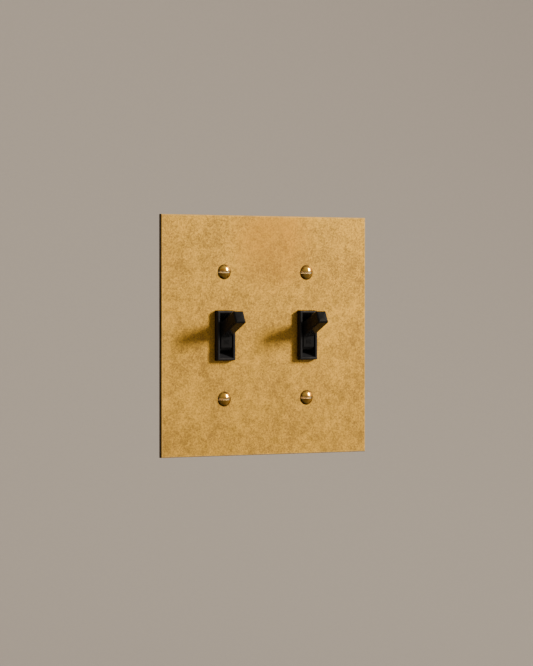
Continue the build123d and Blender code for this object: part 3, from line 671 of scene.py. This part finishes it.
# Painted highlight: a pale band along the plate's outer edges, where light catches them
edge_highlight = add(
    plate_brass, "ShaderNodeMapRange",
    {
        "Value": outermost,
        "From Min": plate_half - 0.00075, "From Max": plate_half - 0.00015, "To Max": 0.6,
    },
).outputs[0]
with_edge_highlight = add(
    plate_brass, "ShaderNodeMix",
    {0: edge_highlight, 6: with_seam_shade, 7: linear("#EFCB7E")}, data_type="RGBA",
).outputs[2]
# Painted shade: the plate's sheared sides are painted dark
side_shade = add(
    plate_brass, "ShaderNodeMapRange",
    {"Value": outermost, "From Min": plate_half - 0.00003, "From Max": plate_half - 0.00001},
).outputs[0]
plate_colour = add(
    plate_brass, "ShaderNodeMix",
    {0: side_shade, 6: with_edge_highlight, 7: linear("#38290F")}, data_type="RGBA",
).outputs[2]
satin = add(
    plate_brass, "ShaderNodeMapRange",
    {"Value": mottle, "From Min": 0.3, "From Max": 0.7, "To Min": 0.44, "To Max": 0.6},
).outputs[0]
uneven = add(
    plate_brass, "ShaderNodeMath", {0: mottle, 1: 0.7, 2: pepper}, operation="MULTIPLY_ADD"
).outputs[0]
# Where the patina is thick it hides part of the metal, which makes the dark marks look flat
metal = add(
    plate_brass, "ShaderNodeMapRange", {"Value": patina, "To Min": 0.5, "To Max": 0.85}
).outputs[0]
plate_bump = add(
    plate_brass, "ShaderNodeBump", {"Height": uneven, "Distance": 0.00003, "Strength": 0.5}
).outputs[0]
shader = add(
    plate_brass, "ShaderNodeBsdfPrincipled",
    {"Base Color": plate_colour, "Metallic": metal, "Roughness": satin, "Normal": plate_bump},
)
add(plate_brass, "ShaderNodeOutputMaterial", {"Surface": shader.outputs[0]})
give(plate_brass, "wall_plate")


# Plate screws: four slotted oval heads that pull the plate against the straps.
# Brass, domed and polished, so each shows one sharp highlight, browner in patches, with painted
# shade and dark reflection round the rim and a painted pale highlight on the slot's floor.
oval_radius = 0.00345
oval_rise = 0.0013
oval_shank = 0.00175
oval_slot = (0.0005, -0.0002, 0.00327)
oval_steps = [(oval_shank, -0.001956)]
oval_thread = (oval_shank, 0.00043, fine_pitch, -0.002, -0.0145)


def oval_head(r):
    """Height of a cap of a sphere over a circle: sqrt(sphere^2 - r^2) - (sphere - rise)."""
    sphere = (oval_radius**2 + oval_rise**2) / (2 * oval_rise)
    return np.sqrt(np.maximum(sphere**2 - r**2, 0)) - (sphere - oval_rise)


polished, place = new_finish("polished_brass")
folded = add(polished, "ShaderNodeVectorMath", {0: place}, operation="ABSOLUTE").outputs[0]
flat = add(
    polished, "ShaderNodeVectorMath", {0: folded, 1: (1, 0, 1)}, operation="MULTIPLY"
).outputs[0]
to_axis = add(
    polished, "ShaderNodeVectorMath",
    {0: flat, 1: (gang_half, 0, screw_half)}, operation="DISTANCE",
).outputs["Value"]
stain = add(
    polished, "ShaderNodeTexNoise", {"Vector": place, "Scale": 1 / 0.0012, "Detail": 4}
).outputs[0]
# Painted shade and dark reflection: a ramp that darkens each head towards its rim
rim_shade_ramp = add(
    polished, "ShaderNodeMapRange",
    {"Value": to_axis, "From Min": 0.0024, "From Max": 0.0034, "To Max": 1.8},
).outputs[0]
tarnish = add(
    polished, "ShaderNodeMapRange",
    {"Value": stain, "From Min": 0.42, "From Max": 0.68, "To Max": 0.8},
).outputs[0]
tarnished = add(
    polished, "ShaderNodeMix",
    {0: tarnish, 6: linear("#FFD466"), 7: linear("#EA9A3C")}, data_type="RGBA",
).outputs[2]
# Painted highlight: the slot's floor is painted pale, and made a little duller
across_slot = add(
    polished, "ShaderNodeMath",
    {0: add(polished, "ShaderNodeSeparateXYZ", {0: flat}).outputs[2], 1: screw_half, 2: 0.0005},
    operation="COMPARE",
).outputs[0]
slot_highlight_colour = add(
    polished, "ShaderNodeMix",
    {0: across_slot, 6: tarnished, 7: linear("#FFE6AE")}, data_type="RGBA",
).outputs[2]
# Painted shade and dark reflection round the rim, broken into the tarnish patches
rim_shade_patches = add(
    polished, "ShaderNodeMath", {0: rim_shade_ramp, 1: stain}, operation="MULTIPLY", use_clamp=True
).outputs[0]
polished_colour = add(
    polished, "ShaderNodeMix",
    {0: rim_shade_patches, 6: slot_highlight_colour, 7: linear("#4A2C10")}, data_type="RGBA",
).outputs[2]
polished_rough = add(
    polished, "ShaderNodeMapRange",
    {"Value": stain, "From Min": 0.3, "From Max": 0.7, "To Min": 0.11, "To Max": 0.21},
).outputs[0]
polished_gloss = add(
    polished, "ShaderNodeMath",
    {0: across_slot, 1: 0.2, 2: polished_rough}, operation="MULTIPLY_ADD",
).outputs[0]
polished_bump = add(
    polished, "ShaderNodeBump", {"Height": stain, "Distance": 0.000008, "Strength": 0.5}
).outputs[0]
shader = add(
    polished, "ShaderNodeBsdfPrincipled",
    {
        "Base Color": polished_colour, "Metallic": 1.0,
        "Roughness": polished_gloss, "Normal": polished_bump,
    },
)
add(polished, "ShaderNodeOutputMaterial", {"Surface": shader.outputs[0]})
for side, gang_x in sides.items():
    for end, z in (("top", screw_half), ("bottom", -screw_half)):
        screw = slotted_screw(
            f"brass_plate_screw_{end}_{side}", (gang_x, plate_front, z), (0, -1, 0), (1, 0, 0),
            oval_radius, oval_head, oval_slot, oval_steps, oval_thread,
        )
        screw.data.materials.append(polished)
        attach(screw, "fixed")
        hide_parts(f"plate_screw_{end}_{side}")


# Floor and backdrop: one wide pale sheet that lies below the plate and sweeps up far behind it.
# Rolled matt paper, so it takes the soft light without a mark or a corner of its own.
def swept_paper(height, bend_start, bend_radius, reach):
    """A sheet that runs level, turns up through a quarter circle and stands.

    The turn's points are bend_start + radius sin(a) back and radius (1 - cos(a)) up, and the
    level and standing ends go straight on by the reach. The profile is repeated at both sides."""
    a = np.linspace(0, np.pi / 2, 25)
    bend = bend_start + bend_radius * np.sin(a)
    back = np.concatenate([[-reach], bend, [bend_start + bend_radius]])
    up = np.concatenate([[0.0], bend_radius * (1 - np.cos(a)), [reach]])
    x, y = np.meshgrid([-reach, reach], back, indexing="ij")
    z = np.broadcast_to(height + up, x.shape)
    count = len(back)
    i = np.arange(count - 1)
    mesh = bpy.data.meshes.new("studio_floor")
    mesh.from_pydata(
        np.stack([x, y, z], -1).reshape(-1, 3).tolist(), [],
        np.stack([i, count + i, count + i + 1, i + 1], -1).tolist(),
    )
    mesh.shade_smooth()
    return mesh


paper, place = new_finish("matt_paper")
pulp = add(
    paper, "ShaderNodeTexNoise", {"Vector": place, "Scale": 1 / 0.004, "Detail": 3}
).outputs[0]
paper_colour = add(
    paper, "ShaderNodeMix",
    {0: pulp, 6: linear("#AFACA9"), 7: linear("#B5B2AF")}, data_type="RGBA",
).outputs[2]
shader = add(paper, "ShaderNodeBsdfPrincipled", {"Base Color": paper_colour, "Roughness": 0.9})
add(paper, "ShaderNodeOutputMaterial", {"Surface": shader.outputs[0]})
floor = bpy.data.objects.new("studio_floor", swept_paper(-0.46, 1.4, 1.6, 12.0))
floor.data.materials.append(paper)
# The metal reflects the studio surround and not the paper
floor.visible_glossy = False
bpy.context.scene.collection.objects.link(floor)


# Studio surround: the plain soft light that fills the shadows and shows in polished metal.
# Warm grey, brightest behind to the right and overhead, and dark straight below.
world = bpy.data.worlds.new("studio_surround")
bpy.context.scene.world = world
world.use_nodes = True
world.node_tree.nodes.clear()
outlook = add(world, "ShaderNodeTexCoord").outputs["Generated"]
towards = add(
    world, "ShaderNodeVectorMath", {0: outlook, 1: (0.5, 0.6, 0.2)}, operation="DOT_PRODUCT"
).outputs["Value"]
behind = add(
    world, "ShaderNodeMapRange",
    {"Value": towards, "From Min": -0.8, "From Max": 0.8, "To Min": 0.27, "To Max": 1.1},
).outputs[0]
height = add(world, "ShaderNodeSeparateXYZ", {0: outlook}).outputs[2]
below = add(
    world, "ShaderNodeMapRange",
    {"Value": height, "From Min": -1.0, "From Max": -0.6, "To Min": 0.15},
).outputs[0]
above = add(
    world, "ShaderNodeMapRange",
    {"Value": height, "From Min": 0.0, "From Max": 0.45, "To Min": 0.83, "To Max": 1.85},
    interpolation_type="SMOOTHSTEP",
).outputs[0]
shaded = add(world, "ShaderNodeMath", {0: behind, 1: below}, operation="MULTIPLY").outputs[0]
level = add(world, "ShaderNodeMath", {0: shaded, 1: above}, operation="MULTIPLY").outputs[0]
surround = add(world, "ShaderNodeBackground", {0: linear("#A99D90"), 1: level})
add(world, "ShaderNodeOutputWorld", {"Surface": surround.outputs[0]})


# Lamp and camera: one soft lamp to the right and a little above, which throws each lever's
# shadow to the left, and the photograph's own view from the front left.
def aim(thing, spot, direction):
    """Put a lamp or camera at a spot, its view axis along a direction and its top upwards."""
    thing.location = spot
    thing.rotation_mode = "QUATERNION"
    thing.rotation_quaternion = Vector(direction).to_track_quat("-Z", "Y")
    bpy.context.scene.collection.objects.link(thing)


to_lamp = Vector((0.79, -0.47, 0.39)).normalized()
lamp_data = bpy.data.lights.new("soft_lamp", "AREA")
lamp_data.shape = "RECTANGLE"
lamp_data.size = 0.55
lamp_data.size_y = 0.85
lamp_data.energy = 195.0
lamp_data.color = linear("#FFF0DC")[:3]
lamp = bpy.data.objects.new("soft_lamp", lamp_data)
lamp.visible_camera = False
lamp_distance = 3.2
aim(lamp, to_lamp * lamp_distance, -to_lamp)

yaw, pitch = np.radians(31.409), np.radians(-0.586)
focal_pixels, picture_height, sensor = 2750, 666, 36
camera_data = bpy.data.cameras.new("photograph_view")
camera_data.lens = focal_pixels * sensor / picture_height
camera_data.sensor_width = sensor
camera_data.clip_end = 200
camera = bpy.data.objects.new("photograph_view", camera_data)
aim(
    camera, (-0.68563, -1.12567, 0.01456),
    (np.sin(yaw) * np.cos(pitch), np.cos(yaw) * np.cos(pitch), np.sin(pitch)),
)
bpy.context.scene.camera = camera
